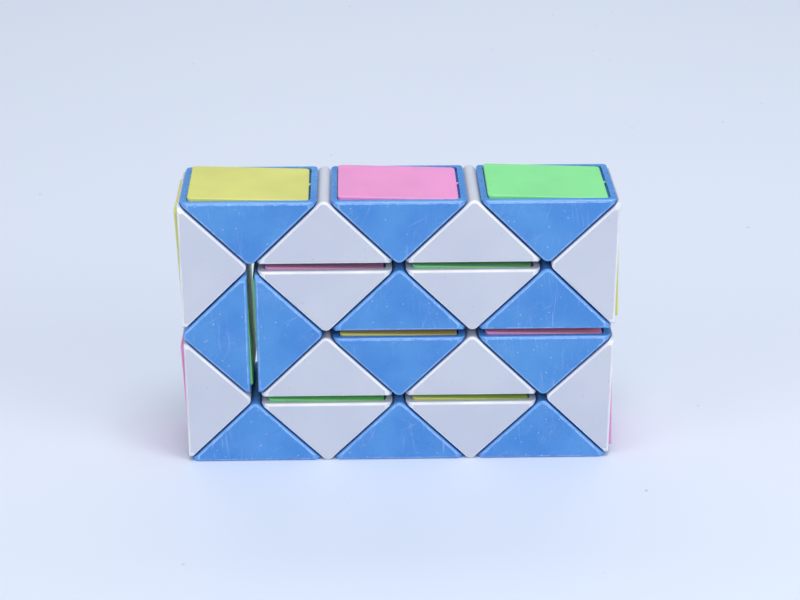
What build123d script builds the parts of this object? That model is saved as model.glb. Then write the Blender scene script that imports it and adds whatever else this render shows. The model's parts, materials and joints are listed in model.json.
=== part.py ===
from build123d import *
import os
from math import degrees, sqrt

# Twisty snake puzzle: 24 right-angled wedges in a chain, folded into a flat block that is
# three squares wide, two squares high and one wedge deep. Every pair of neighbours turns on
# a sprung rivet through the middle of the square leg faces that they share.
#
# Row frame, mm: +X along the block, +Y away from the viewer, +Z up. The origin is at the
# middle of the block's underside.
#
# Wedge frame: the origin is the middle of the nominal long face, +X runs from the wedge's
# upstream tip to its downstream tip, +Z points out of the long face, and the right-angled
# edge lies below the origin.

# Driving dimensions
WEDGES = 24
FOLDED_JOINTS = (5, 6, 10, 11, 15, 16, 21)   # joints turned by half a turn from a straight bar
SQUARES_WIDE = 3
SQUARES_HIGH = 2
LEG_PITCH = 20.0          # nominal leg of the triangle, and nominal depth
LEG_GAP = 0.35            # gap between two leg faces
LONG_FACE_GAP = 1.56      # slit between two long faces
DEPTH = 19.7              # wedge size along Y
WALL = 1.4                # thickness of the leg walls
END_WALL = 1.9            # thickness of the two triangular walls, with the cover's ledge
EDGE_RADIUS = 0.6         # outlines of the two triangular ends
TIP_RADIUS = 0.2          # the two acute edges
CORNER_RADIUS = 1.8       # corners of the long face, seen square on
SPINE_RADIUS = 1.3        # right-angled edge, which just reaches the plane of the rims below it

# Cover plate and the recess that it drops into
COVER_LENGTH = 22.8
COVER_WIDTH = 17.0
COVER_THICKNESS = 1.0
COVER_CORNER = 0.9
COVER_EDGE_RADIUS = 0.25
COVER_STRAIGHT_EDGE = 0.4     # upright part of the plate's edge, above its 45 degree bevel
COVER_END_FIT = 0.25          # gap at each end of a centred plate
COVER_SIDE_FIT = 0.15         # gap along each side
COVER_SHIFT = 0.12            # how far the plate is pushed towards its proud end
COVER_YAW = 0.3               # degrees that a plate may be turned in its recess
OUTER_COVERS = (1, 3, 5, 6, 16, 22, 24)      # covers on the block's top, left and right
COVER_PROUD = 0.5             # how far one end stands out of the rim
OUTER_COVER_PROUD = 0.7
COVER_SUNK = 0.1              # how far the other end sits below the rim
RECESS_DEPTH = 1.2
RIB_LENGTH = 13.0
RIB_HEIGHT = 2.6
RIB_THICKNESS = 1.0
RIB_FIT = 0.06
GATE_RADIUS = 0.36            # moulding gate left on the sunk end of the plate
GATE_HEIGHT = 0.4

# Pivot hardware, measured along the joint axis from the nominal leg plane
SHANK_RADIUS = 1.1
PRESS_HOLE_RADIUS = 1.12      # hole in the wedge that holds the rivet head
RUNNING_HOLE_RADIUS = 1.16    # hole in the neighbour that turns on the rivet
HEAD_RADIUS = 2.0
HEAD_THICKNESS = 0.55
HEAD_INNER_FACE = 4.05        # distance of the head's inner face from the leg plane
TAIL_END = 2.6
TAIL_CHAMFER = 0.3
WASHER_RADIUS = 2.2
WASHER_THICKNESS = 0.4
WASHER_SEAT_GAP = 0.05
WASHER_FIT = 0.05
SPRING_COIL_RADIUS = 1.62
SPRING_WIRE_RADIUS = 0.2
SPRING_TURNS = 3
BOSS_RADIUS = 4.5             # round bearing pad on each jointed leg face
BOSS_HEIGHT = 0.15

# Derived dimensions
HALF_LONG = LEG_PITCH / sqrt(2)
LEG_INSET = LEG_GAP / 2
LONG_INSET = LONG_FACE_GAP / 2
RIM = -LONG_INSET                        # height of the rim in the wedge frame
WALL_INNER_FACE = LEG_INSET + WALL
UPSTREAM, DOWNSTREAM = -1, 1
CUT_OVERSHOOT = 1.0


def is_blue(number):
    """Odd wedges are blue and carry the pivots; even wedges are white."""
    return number % 2 == 1


def is_on_underside(number):
    """The three wedges whose long faces carry the block."""
    return number in (17, 19, 21)


def jointed_sides(number):
    """Leg sides of a wedge that have a neighbour: the two loose ends have only one."""
    sides = []
    if number > 1:
        sides.append(UPSTREAM)
    if number < WEDGES:
        sides.append(DOWNSTREAM)
    return sides


def wedge_planes():
    """Where each wedge stands in the block, found by walking along the folded chain."""
    reach = HALF_LONG
    left = -SQUARES_WIDE * reach
    top = 2 * SQUARES_HIGH * reach - LONG_INSET
    tip_in = Vector(left, 0, top)
    apex = Vector(left + reach, 0, top - reach)
    tip_out = Vector(left + 2 * reach, 0, top)
    planes = {}
    for number in range(1, WEDGES + 1):
        middle = (tip_in + tip_out) * 0.5
        planes[number] = Plane(origin=middle, x_dir=tip_out - tip_in, z_dir=middle - apex)
        onward = apex - tip_in
        if number in FOLDED_JOINTS:
            tip_in, tip_out = tip_out, apex + onward
        else:
            tip_in, apex, tip_out = apex, tip_out, tip_out + onward
    return planes


def leg_plane(side):
    """Plane at the middle of a leg, in the wedge frame, with its normal pointing out."""
    return Plane(origin=(side * HALF_LONG / 2, 0, -HALF_LONG / 2), x_dir=(0, 1, 0), z_dir=(side, 0, -1))


def triangular_prism(leg_inset, long_inset, depth, tip_radius=0.0):
    """Right-angled prism along Y, with its faces moved in from the nominal triangle."""
    reach = HALF_LONG - leg_inset * sqrt(2)
    half = reach - long_inset
    outline = Polygon((-half, -long_inset), (half, -long_inset), (0, -reach), align=None)
    if tip_radius:
        outline = fillet(outline.vertices().group_by(Axis.Y)[-1], tip_radius)
    return extrude(Plane.XZ * outline, depth / 2, both=True)


def plate_blank(length, width, corner, top, straight, bottom):
    """Rounded plate from top down to bottom, whose two short ends slope in at 45 degrees."""
    half = length / 2
    slope = top - straight - bottom
    profile = Polygon(
        (-half, top),
        (half, top),
        (half, top - straight),
        (half - slope, bottom),
        (-half + slope, bottom),
        (-half, top - straight),
        align=None,
    )
    bar = extrude(Plane.XZ * profile, width / 2, both=True)
    plan = extrude(Plane.XY.offset(bottom) * RectangleRounded(length, width, corner), top - bottom)
    return bar & plan


def proud_side(number):
    """Blue wedges show the upstream end of the cover, white wedges the downstream end."""
    if is_blue(number):
        return UPSTREAM
    return DOWNSTREAM


def shell(number):
    """Hollow wedge, open at the long face, with a recess for the cover and pivot holes."""
    body = triangular_prism(LEG_INSET, LONG_INSET, DEPTH)
    spine = body.edges().filter_by(Axis.Y).sort_by(Axis.Z)[0]
    body = fillet(spine, SPINE_RADIUS)
    body = fillet(body.faces().filter_by(Axis.Y).edges(), EDGE_RADIUS)
    body &= triangular_prism(LEG_INSET, LONG_INSET, DEPTH, TIP_RADIUS)
    length = body.bounding_box().size.X
    body &= extrude(RectangleRounded(length, DEPTH, CORNER_RADIUS), -HALF_LONG)
    sides = jointed_sides(number)
    for side in sides:
        body += leg_plane(side).offset(-LEG_INSET) * Cylinder(
            BOSS_RADIUS, BOSS_HEIGHT, align=(Align.CENTER, Align.CENTER, Align.MIN)
        )
    ledge = LONG_INSET + RECESS_DEPTH
    body -= triangular_prism(WALL_INNER_FACE, ledge - 0.01, DEPTH - 2 * END_WALL)
    body -= plate_blank(
        COVER_LENGTH + 2 * COVER_END_FIT,
        COVER_WIDTH + 2 * COVER_SIDE_FIT,
        COVER_CORNER + COVER_SIDE_FIT,
        RIM + CUT_OVERSHOOT,
        CUT_OVERSHOOT + COVER_STRAIGHT_EDGE + COVER_SUNK,
        RIM - RECESS_DEPTH,
    )
    hole = PRESS_HOLE_RADIUS if is_blue(number) else RUNNING_HOLE_RADIUS
    for side in sides:
        body -= leg_plane(side) * Cylinder(hole, 2 * (WALL_INNER_FACE + CUT_OVERSHOOT))
    return body


def cover(number):
    """Coloured plate that closes the wedge, with two guide ribs and its moulding gate."""
    plate = plate_blank(
        COVER_LENGTH, COVER_WIDTH, COVER_CORNER, 0, COVER_STRAIGHT_EDGE, -COVER_THICKNESS
    )
    plate = fillet(plate.faces().sort_by(Axis.Z)[-1].edges(), COVER_EDGE_RADIUS)
    rib_y = DEPTH / 2 - END_WALL - RIB_FIT - RIB_THICKNESS / 2
    for side in (-1, 1):
        outline = Polygon(
            (-RIB_LENGTH / 2, 0),
            (RIB_LENGTH / 2, 0),
            (RIB_LENGTH / 2 - RIB_HEIGHT, -RIB_HEIGHT),
            (-RIB_LENGTH / 2 + RIB_HEIGHT, -RIB_HEIGHT),
            align=None,
        )
        rib = extrude(Plane.XZ * outline, RIB_THICKNESS / 2, both=True)
        plate += Pos(0, side * rib_y, -COVER_THICKNESS / 2) * rib
    proud = proud_side(number)
    gate = Cylinder(GATE_RADIUS, GATE_HEIGHT, align=(Align.CENTER, Align.CENTER, Align.MAX))
    plate += Pos(-proud * COVER_LENGTH / 2, 0, 0) * gate
    if is_on_underside(number):
        return Pos(proud * COVER_SHIFT, 0, RIM) * plate
    height = OUTER_COVER_PROUD if number in OUTER_COVERS else COVER_PROUD
    rise = height + COVER_SUNK
    lift = (height - COVER_SUNK) / 2
    tilt = -proud * degrees(rise / COVER_LENGTH)
    yaw = COVER_YAW * ((number + 1) % 3 - 1)
    return Pos(proud * COVER_SHIFT, 0, RIM + lift) * Rot(0, tilt, yaw) * plate


def rivet():
    """Headed rivet on +Z: its head is inside the blue wedge and its tail in the white one."""
    head = Pos(0, 0, -HEAD_INNER_FACE) * Cylinder(
        HEAD_RADIUS, HEAD_THICKNESS, align=(Align.CENTER, Align.CENTER, Align.MAX)
    )
    head = fillet(head.edges().sort_by(Axis.Z)[0], HEAD_THICKNESS * 0.6)
    shank = Pos(0, 0, -HEAD_INNER_FACE) * Cylinder(
        SHANK_RADIUS, HEAD_INNER_FACE + TAIL_END, align=(Align.CENTER, Align.CENTER, Align.MIN)
    )
    shank = chamfer(shank.edges().sort_by(Axis.Z)[-1], TAIL_CHAMFER)
    return head + shank


def washer(bottom, bore_radius):
    """Flat washer on +Z, with its lower face at the given height."""
    disc = Cylinder(WASHER_RADIUS, WASHER_THICKNESS, align=(Align.CENTER, Align.CENTER, Align.MIN))
    bore = Cylinder(bore_radius, 3 * WASHER_THICKNESS)
    return Pos(0, 0, bottom) * (disc - bore)


def spring():
    """Coil spring between the rivet head and the washer on the blue wedge's wall."""
    seat = -WALL_INNER_FACE - WASHER_SEAT_GAP - WASHER_THICKNESS
    low = -HEAD_INNER_FACE + SPRING_WIRE_RADIUS + WASHER_FIT
    high = seat - SPRING_WIRE_RADIUS - WASHER_FIT
    path = Helix(pitch=(high - low) / SPRING_TURNS, height=high - low, radius=SPRING_COIL_RADIUS)
    start = Plane(origin=path @ 0, z_dir=path % 0)
    wire = sweep(start * Circle(SPRING_WIRE_RADIUS), path=path, is_frenet=True)
    return Pos(0, 0, low) * wire


def pivot_set():
    """Separate solids of one pivot, along +Z from the blue wedge into the white one."""
    seat_washer = washer(-WALL_INNER_FACE - WASHER_SEAT_GAP - WASHER_THICKNESS, SHANK_RADIUS + WASHER_FIT)
    retainer = washer(WALL_INNER_FACE + WASHER_SEAT_GAP, SHANK_RADIUS + 0.01)
    return [rivet(), spring(), seat_washer, retainer]


def pivots(number):
    """All pivot pieces held by one blue wedge."""
    pieces = []
    for side in jointed_sides(number):
        pieces += [leg_plane(side) * piece for piece in pivot_set()]
    return Compound(children=pieces)


def write(name, shape, plane, colour):
    """Move a piece from the wedge frame to its place in the block and export it."""
    placed = plane.location * shape
    placed.label = name
    placed.color = colour
    export_step(placed, f"parts/{name}.step")


COVER_COLOURS = {
    "yellow": Color(0.80, 0.84, 0.42),
    "green": Color(0.45, 0.90, 0.52),
    "pink": Color(0.92, 0.55, 0.80),
}
COVER_SEQUENCE = ("yellow", "green", "pink", "pink", "green", "yellow")
BLUE = Color(0.25, 0.48, 0.85)
WHITE = Color(0.85, 0.86, 0.92)
STEEL = Color(0.62, 0.63, 0.65)


def main():
    os.makedirs("parts", exist_ok=True)
    for number, plane in wedge_planes().items():
        name = f"wedge_{number:02d}"
        write(f"{name}_shell", shell(number), plane, BLUE if is_blue(number) else WHITE)
        colour = COVER_SEQUENCE[(number - 1) % len(COVER_SEQUENCE)]
        write(f"{name}_cover", cover(number), plane, COVER_COLOURS[colour])
        if is_blue(number):
            write(f"{name}_pivots", pivots(number), plane, STEEL)


main()
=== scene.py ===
import json
import math

import bpy
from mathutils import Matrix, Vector


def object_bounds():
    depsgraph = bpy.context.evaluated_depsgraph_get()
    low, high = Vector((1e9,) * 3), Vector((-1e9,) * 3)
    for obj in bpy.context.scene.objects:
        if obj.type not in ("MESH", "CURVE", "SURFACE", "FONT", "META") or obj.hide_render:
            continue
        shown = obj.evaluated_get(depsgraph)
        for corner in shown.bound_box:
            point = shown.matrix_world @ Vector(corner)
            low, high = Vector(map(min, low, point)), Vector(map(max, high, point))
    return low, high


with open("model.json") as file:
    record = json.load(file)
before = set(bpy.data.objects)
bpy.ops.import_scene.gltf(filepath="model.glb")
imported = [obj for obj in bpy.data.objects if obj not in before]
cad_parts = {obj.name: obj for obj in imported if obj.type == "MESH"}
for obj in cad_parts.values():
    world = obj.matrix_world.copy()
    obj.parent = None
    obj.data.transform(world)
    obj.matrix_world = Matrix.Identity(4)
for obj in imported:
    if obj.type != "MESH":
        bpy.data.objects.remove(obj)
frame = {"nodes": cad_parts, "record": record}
cad_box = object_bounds()

MM = 0.001
SURFACE_SCALE = 1000.0          # object coordinates in metres to texture coordinates in millimetres

# Camera
CAMERA_AZIMUTH = math.radians(1.37)
CAMERA_ELEVATION = math.radians(24.63)
CAMERA_DISTANCE = 384.4 * MM
CAMERA_AIM = Vector((0.4, 0.5, 30.1)) * MM
CAMERA_SENSOR = 36.0
CAMERA_LENS = 87.75

# Finishes, as sRGB values
BLUE = (0.317, 0.583, 0.860)
BLUE_DEEP = (0.262, 0.534, 0.836)
# Painted highlight: lighter blue laid on the rounded outline of the blue wedges, where light would catch it
BLUE_PAINTED_HIGHLIGHT = (0.470, 0.700, 0.970)
# Pale blue of chips, scuffs and scratches, also used as a painted highlight along the edges
BLUE_WORN_AND_HIGHLIGHT = (0.640, 0.760, 0.950)
WHITE = (0.804, 0.820, 0.872)
WHITE_SHADE = (0.786, 0.804, 0.864)
# Painted highlight: near white laid on the rounded rims and edges of the white wedges, where light would
# catch them
WHITE_PAINTED_HIGHLIGHT = (0.985, 0.985, 0.990)
DARK_SPECK = (0.420, 0.400, 0.430)
PALE_SPECK = (0.880, 0.920, 0.980)
COVERS = {
    "yellow": (0.847, 0.855, 0.484),
    "green": (0.532, 0.901, 0.594),
    "pink": (0.928, 0.603, 0.826),
}
STEEL = (0.640, 0.650, 0.670)
STEEL_DULL = (0.480, 0.490, 0.510)
FLOOR = (0.872, 0.905, 0.966)
FLOOR_SHADE = (0.862, 0.896, 0.960)

# Bands of distance from the block's middle plane, in mm: each is where a ramp starts and ends
RIM_RISE = (9.25, 9.45)
RIM_FALL = (9.845, 9.79)
# Pale line where the rounded outline ends: partly edge wear, partly a painted highlight
WEAR_AND_HIGHLIGHT_RISE = (9.74, 9.79)
WEAR_AND_HIGHLIGHT_FALL = (9.846, 9.838)

# Edges: how squarely the rounded normal faces the flat one, from where an edge starts to where it is full
EDGE_FACING = (0.995, 0.90)
EDGE_SAMPLES = 6

# Handling scratches
SCRATCH_ANGLES = (12, 38, 61, 97, 128, 163)
SCRATCH_STRETCH = (0.10, 0.10, 6.5)
SCRATCH_LINE = (0.69, 0.74)
SCRATCH_PATCH = (0.49, 0.62)

# Slow change of colour over a face, as a ramp of noise
TINT_RAMP = (0.35, 0.65)

# Floor
FLOOR_HALF_SIZE = 6.0
FLOOR_ROUGHNESS = 0.42

# Lights, in metres and watts: name, place, aim, width, height, power, colour
MIDDLE = (0, 0, 0.03)
SOFTBOXES = (
    ("overhead", (0.05, -0.15, 0.74), MIDDLE, 0.34, 0.26, 2.3, (1.0, 0.99, 0.98)),
    ("backdrop", (0.05, 0.45, 0.55), (0.05, 0.45, 0), 0.90, 0.30, 1.55, (1.0, 1.0, 1.0)),
    ("right_side", (0.62, -0.42, 0.34), MIDDLE, 0.40, 0.40, 2.2, (0.98, 0.99, 1.0)),
    ("left_side", (-0.62, -0.38, 0.31), MIDDLE, 0.40, 0.40, 1.5, (0.98, 0.99, 1.0)),
    ("front", (0.05, -0.85, 0.42), MIDDLE, 0.80, 0.50, 1.0, (1.0, 1.0, 1.0)),
)
SKY_COLOUR = (0.86, 0.93, 1.0, 1.0)
SKY_STRENGTH = 0.32


def linear(colour):
    """Linear RGBA from an sRGB triple."""
    channels = [c / 12.92 if c <= 0.04045 else ((c + 0.055) / 1.055) ** 2.4 for c in colour]
    return (*channels, 1.0)


class Graph:
    """A material's node tree, with one short method for each kind of node that is used."""

    def __init__(self, name):
        self.material = bpy.data.materials.new(name)
        self.material.use_nodes = True
        self.tree = self.material.node_tree
        self.tree.nodes.clear()
        coordinates = self.node("ShaderNodeTexCoord")
        self.mm = self.vector("MULTIPLY", coordinates.outputs["Object"], (SURFACE_SCALE,) * 3)

    def node(self, kind, **settings):
        made = self.tree.nodes.new(kind)
        for key, value in settings.items():
            setattr(made, key, value)
        return made

    def feed(self, socket, value):
        """Link a socket, or set its value."""
        if isinstance(value, bpy.types.NodeSocket):
            self.tree.links.new(value, socket)
        else:
            socket.default_value = value

    def vector(self, operation, a, b):
        made = self.node("ShaderNodeVectorMath", operation=operation)
        self.feed(made.inputs[0], a)
        self.feed(made.inputs[1], b)
        return made.outputs["Value" if operation == "DOT_PRODUCT" else "Vector"]

    def math(self, operation, a, b=0.0):
        made = self.node("ShaderNodeMath", operation=operation, use_clamp=True)
        self.feed(made.inputs[0], a)
        self.feed(made.inputs[1], b)
        return made.outputs[0]

    def step(self, value, low, high, out_low=0.0, out_high=1.0):
        """Smooth ramp of value from low to high."""
        made = self.node("ShaderNodeMapRange", interpolation_type="SMOOTHSTEP")
        self.feed(made.inputs["Value"], value)
        made.inputs["From Min"].default_value = low
        made.inputs["From Max"].default_value = high
        made.inputs["To Min"].default_value = out_low
        made.inputs["To Max"].default_value = out_high
        return made.outputs["Result"]

    def mix(self, factor, a, b):
        made = self.node("ShaderNodeMix", data_type="RGBA")
        self.feed(made.inputs["Factor"], factor)
        self.feed(made.inputs["A"], a)
        self.feed(made.inputs["B"], b)
        return made.outputs["Result"]

    def noise(self, scale, detail=2.0, vector=None, roughness=0.5):
        made = self.node("ShaderNodeTexNoise")
        self.feed(made.inputs["Vector"], vector or self.mm)
        made.inputs["Scale"].default_value = scale
        made.inputs["Detail"].default_value = detail
        made.inputs["Roughness"].default_value = roughness
        return made.outputs["Fac"]

    def turned(self, angles, scale):
        """Surface coordinates turned and then stretched."""
        turn = self.node("ShaderNodeVectorRotate", rotation_type="EULER_XYZ")
        self.feed(turn.inputs["Vector"], self.mm)
        turn.inputs["Rotation"].default_value = [math.radians(a) for a in angles]
        return self.vector("MULTIPLY", turn.outputs["Vector"], scale)

    def edge(self, radius):
        """1 on outer edges and corners, fading to 0 on flat faces."""
        bevel = self.node("ShaderNodeBevel", samples=EDGE_SAMPLES)
        bevel.inputs["Radius"].default_value = radius
        plain = self.node("ShaderNodeNewGeometry")
        facing = self.vector("DOT_PRODUCT", bevel.outputs["Normal"], plain.outputs["True Normal"])
        return self.step(facing, *EDGE_FACING)

    def specks(self, spacing, size, share):
        """Scattered round specks: spacing between cells, size as a part of a cell, share that show."""
        cells = self.node("ShaderNodeTexVoronoi", feature="F1")
        self.feed(cells.inputs["Vector"], self.mm)
        cells.inputs["Scale"].default_value = 1.0 / spacing
        near = self.step(cells.outputs["Distance"], size, 0.4 * size)
        chosen = self.node("ShaderNodeSeparateColor")
        self.feed(chosen.inputs["Color"], cells.outputs["Color"])
        return self.math("MULTIPLY", near, self.step(chosen.outputs["Red"], share, 0.9 * share))

    def depth(self):
        """Distance in mm from the block's middle plane, which is parallel to every triangular end."""
        magnitude = self.vector("ABSOLUTE", self.mm, (0, 0, 0))
        return self.vector("DOT_PRODUCT", magnitude, (0, 1, 0))

    def rim(self):
        """1 on the rounded outline of the triangular ends."""
        depth = self.depth()
        return self.math("MULTIPLY", self.step(depth, *RIM_RISE), self.step(depth, *RIM_FALL))

    def rim_wear_and_highlight(self):
        """Broken line where the rounded outline meets the flat triangular end: partly edge wear, partly a
        painted highlight.
        """
        depth = self.depth()
        line = self.math("MULTIPLY", self.step(depth, *WEAR_AND_HIGHLIGHT_RISE), self.step(depth, *WEAR_AND_HIGHLIGHT_FALL))
        broken = self.step(self.noise(0.55, 5.0, roughness=0.7), 0.36, 0.62)
        return self.math("MULTIPLY", line, broken)

    def scratches(self, amount):
        """Fine handling scratches in several directions, in loose patches."""
        total = 0.0
        for index, angle in enumerate(SCRATCH_ANGLES):
            stretched = self.turned((90 + 7 * index, angle, 5 * index), SCRATCH_STRETCH)
            line = self.step(self.noise(1.0, 1.0, stretched), *SCRATCH_LINE)
            patch = self.step(self.noise(0.11 + 0.015 * index, 1.0), *SCRATCH_PATCH)
            total = self.math("ADD", total, self.math("MULTIPLY", line, patch))
        return self.math("MULTIPLY", total, amount)

    def bump(self, height, distance, strength=1.0, normal=None):
        made = self.node("ShaderNodeBump")
        self.feed(made.inputs["Height"], height)
        made.inputs["Distance"].default_value = distance
        made.inputs["Strength"].default_value = strength
        if normal:
            self.feed(made.inputs["Normal"], normal)
        return made.outputs["Normal"]

    def finish(self, colour, roughness, normal, **extras):
        shader = self.node("ShaderNodeBsdfPrincipled")
        self.feed(shader.inputs["Base Color"], colour)
        self.feed(shader.inputs["Roughness"], roughness)
        self.feed(shader.inputs["Normal"], normal)
        for key, value in extras.items():
            self.feed(shader.inputs[key.replace("_", " ")], value)
        output = self.node("ShaderNodeOutputMaterial")
        self.feed(output.inputs["Surface"], shader.outputs[0])
        return self.material


def moulded_surface(graph, marks):
    """Height of a moulded face: long sink waves, fine orange peel and the given marks."""
    sink = graph.math("MULTIPLY", graph.noise(0.09, 1.0), 0.55)
    peel = graph.math("MULTIPLY", graph.noise(2.2, 2.0), 0.05)
    height = graph.math("ADD", sink, peel)
    return graph.math("SUBTRACT", height, graph.math("MULTIPLY", marks, 0.12))


def blue_plastic():
    graph = Graph("blue_plastic")
    scratches = graph.scratches(0.85)
    edge = graph.edge(0.45 * MM)
    # Edge chips: partly real wear, partly a painted highlight along the edges
    edge_chips_and_highlight = graph.math("MULTIPLY", edge, graph.step(graph.noise(1.5, 4.0), 0.52, 0.64))
    scuffs = graph.math(
        "MULTIPLY",
        graph.step(graph.noise(0.16, 2.0), 0.56, 0.72),
        graph.step(graph.noise(1.9, 5.0, roughness=0.7), 0.42, 0.72),
    )
    dust = graph.specks(1.4, 0.100, 0.80)
    colour = graph.mix(graph.step(graph.noise(0.10, 2.0), *TINT_RAMP), linear(BLUE), linear(BLUE_DEEP))
    # Painted highlight: the rounded outline is lightened towards a paler blue.
    colour = graph.mix(graph.math("MULTIPLY", graph.rim(), 0.45), colour, linear(BLUE_PAINTED_HIGHLIGHT))
    # Scuffs and scratches are wear; the edge chips and the line at the rim are partly wear and partly
    # painted highlight.
    pale_marks = graph.math("ADD", graph.math("MULTIPLY", edge_chips_and_highlight, 0.55), graph.math("MULTIPLY", scuffs, 0.22))
    pale_marks = graph.math("ADD", pale_marks, graph.math("MULTIPLY", scratches, 0.50))
    pale_marks = graph.math("ADD", pale_marks, graph.math("MULTIPLY", graph.rim_wear_and_highlight(), 0.70))
    colour = graph.mix(pale_marks, colour, linear(BLUE_WORN_AND_HIGHLIGHT))
    colour = graph.mix(graph.math("MULTIPLY", dust, 0.8), colour, linear(PALE_SPECK))
    matt = graph.step(graph.math("ADD", pale_marks, graph.noise(0.35, 3.0)), 0.3, 1.1, 0.26, 0.50)
    roughness = graph.math("SUBTRACT", matt, graph.math("MULTIPLY", graph.rim(), 0.10))
    normal = graph.bump(moulded_surface(graph, scratches), 0.12 * MM)
    return graph.finish(colour, roughness, normal, Specular_IOR_Level=0.5, Coat_Weight=0.05)


def white_plastic():
    graph = Graph("white_plastic")
    scratches = graph.scratches(0.35)
    edge = graph.edge(0.45 * MM)
    colour = graph.mix(graph.step(graph.noise(0.07, 2.0), *TINT_RAMP), linear(WHITE), linear(WHITE_SHADE))
    # Painted highlight: the rounded rim, and more weakly the edges, are lightened towards near white as if
    # catching the softboxes
    rim = graph.math("MULTIPLY", graph.rim(), graph.step(graph.noise(0.12, 2.0), 0.3, 0.7, 0.35, 0.80))
    painted_highlight = graph.math("MAXIMUM", graph.math("MULTIPLY", edge, 0.3), rim)
    colour = graph.mix(painted_highlight, colour, linear(WHITE_PAINTED_HIGHLIGHT))
    dirt = graph.specks(1.7, 0.080, 0.50)
    colour = graph.mix(graph.math("MULTIPLY", dirt, 0.55), colour, linear(DARK_SPECK))
    roughness = graph.step(graph.math("ADD", scratches, graph.noise(0.35, 3.0)), 0.3, 1.1, 0.30, 0.46)
    normal = graph.bump(moulded_surface(graph, scratches), 0.10 * MM)
    return graph.finish(
        colour, roughness, normal, Subsurface_Weight=0.10, Subsurface_Scale=0.8 * MM, Specular_IOR_Level=0.45
    )


def cover_plastic(name, base):
    graph = Graph(f"{name}_cover_plastic")
    scratches = graph.scratches(0.30)
    edge = graph.edge(0.25 * MM)
    pale = tuple(0.5 + 0.5 * channel for channel in base)
    deep = tuple(0.965 * channel for channel in base)
    colour = graph.mix(graph.step(graph.noise(0.08, 2.0), *TINT_RAMP), linear(base), linear(deep))
    pale_marks = graph.math("ADD", graph.math("MULTIPLY", edge, 0.18), graph.math("MULTIPLY", scratches, 0.30))
    colour = graph.mix(pale_marks, colour, linear(pale))
    dirt = graph.specks(2.0, 0.070, 0.45)
    colour = graph.mix(graph.math("MULTIPLY", dirt, 0.5), colour, linear(DARK_SPECK))
    roughness = graph.step(graph.math("ADD", scratches, graph.noise(0.4, 3.0)), 0.3, 1.1, 0.34, 0.52)
    normal = graph.bump(moulded_surface(graph, scratches), 0.08 * MM)
    return graph.finish(
        colour, roughness, normal, Subsurface_Weight=0.08, Subsurface_Scale=0.6 * MM, Specular_IOR_Level=0.4
    )


def pivot_steel():
    graph = Graph("pivot_steel")
    grain = graph.noise(1.0, 3.0, graph.turned((0, 0, 0), (9.0, 0.8, 9.0)))
    colour = graph.mix(grain, linear(STEEL), linear(STEEL_DULL))
    colour = graph.mix(graph.math("MULTIPLY", graph.edge(0.15 * MM), 0.5), colour, linear(PALE_SPECK))
    roughness = graph.step(grain, 0.2, 0.8, 0.24, 0.42)
    normal = graph.bump(grain, 0.02 * MM)
    return graph.finish(colour, roughness, normal, Metallic=1.0)


def floor_surface():
    graph = Graph("floor_surface")
    colour = graph.mix(graph.noise(0.012, 2.0), linear(FLOOR), linear(FLOOR_SHADE))
    dust = graph.specks(11.0, 0.045, 0.85)
    colour = graph.mix(graph.math("MULTIPLY", dust, 0.35), colour, linear(DARK_SPECK))
    normal = graph.bump(graph.noise(0.8, 3.0), 0.02 * MM)
    return graph.finish(colour, FLOOR_ROUGHNESS, normal, Specular_IOR_Level=0.25)


def dress_nodes():
    """Give each CAD node the finish that its material slot names."""
    finishes = {"blue_shell": blue_plastic(), "white_shell": white_plastic(), "pivot_steel": pivot_steel()}
    for name, base in COVERS.items():
        finishes[f"{name}_cover"] = cover_plastic(name, base)
    for part in frame["record"]["subparts"]:
        mesh = frame["nodes"][part["node"]].data
        mesh.materials.clear()
        mesh.materials.append(finishes[part["material_slot"]])


def add_floor():
    size = FLOOR_HALF_SIZE
    mesh = bpy.data.meshes.new("floor")
    corners = [(-size, -size, 0), (size, -size, 0), (size, size, 0), (-size, size, 0)]
    mesh.from_pydata(corners, [], [(0, 1, 2, 3)])
    mesh.materials.append(floor_surface())
    floor = bpy.data.objects.new("floor", mesh)
    floor.location.z = cad_box[0][2]
    bpy.context.scene.collection.objects.link(floor)


def add_softbox(name, place, aim, width, height, power, colour):
    light = bpy.data.lights.new(name, "AREA")
    light.shape = "RECTANGLE"
    light.size = width
    light.size_y = height
    light.energy = power
    light.color = colour
    lamp = bpy.data.objects.new(name, light)
    lamp.location = place
    lamp.rotation_euler = (Vector(aim) - Vector(place)).to_track_quat("-Z", "Y").to_euler()
    bpy.context.scene.collection.objects.link(lamp)


def add_lights():
    """A bright even tent of light, with a softbox overhead and others behind, in front and on both sides."""
    for softbox in SOFTBOXES:
        add_softbox(*softbox)
    world = bpy.data.worlds.new("tent")
    world.use_nodes = True
    sky = world.node_tree.nodes["Background"]
    sky.inputs["Color"].default_value = SKY_COLOUR
    sky.inputs["Strength"].default_value = SKY_STRENGTH
    bpy.context.scene.world = world


def add_camera():
    data = bpy.data.cameras.new("camera")
    data.sensor_width = CAMERA_SENSOR
    data.lens = CAMERA_LENS
    camera = bpy.data.objects.new("camera", data)
    level = math.cos(CAMERA_ELEVATION)
    forward = Vector(
        (math.sin(CAMERA_AZIMUTH) * level, math.cos(CAMERA_AZIMUTH) * level, -math.sin(CAMERA_ELEVATION))
    )
    camera.location = CAMERA_AIM - forward * CAMERA_DISTANCE
    camera.rotation_euler = forward.to_track_quat("-Z", "Y").to_euler()
    bpy.context.scene.collection.objects.link(camera)
    bpy.context.scene.camera = camera


def clear_default_objects():
    for name in ("Cube", "Light", "Camera"):
        if name in bpy.data.objects:
            bpy.data.objects.remove(bpy.data.objects[name])


clear_default_objects()
dress_nodes()
add_floor()
add_lights()
add_camera()
bpy.context.scene.view_settings.view_transform = "Standard"
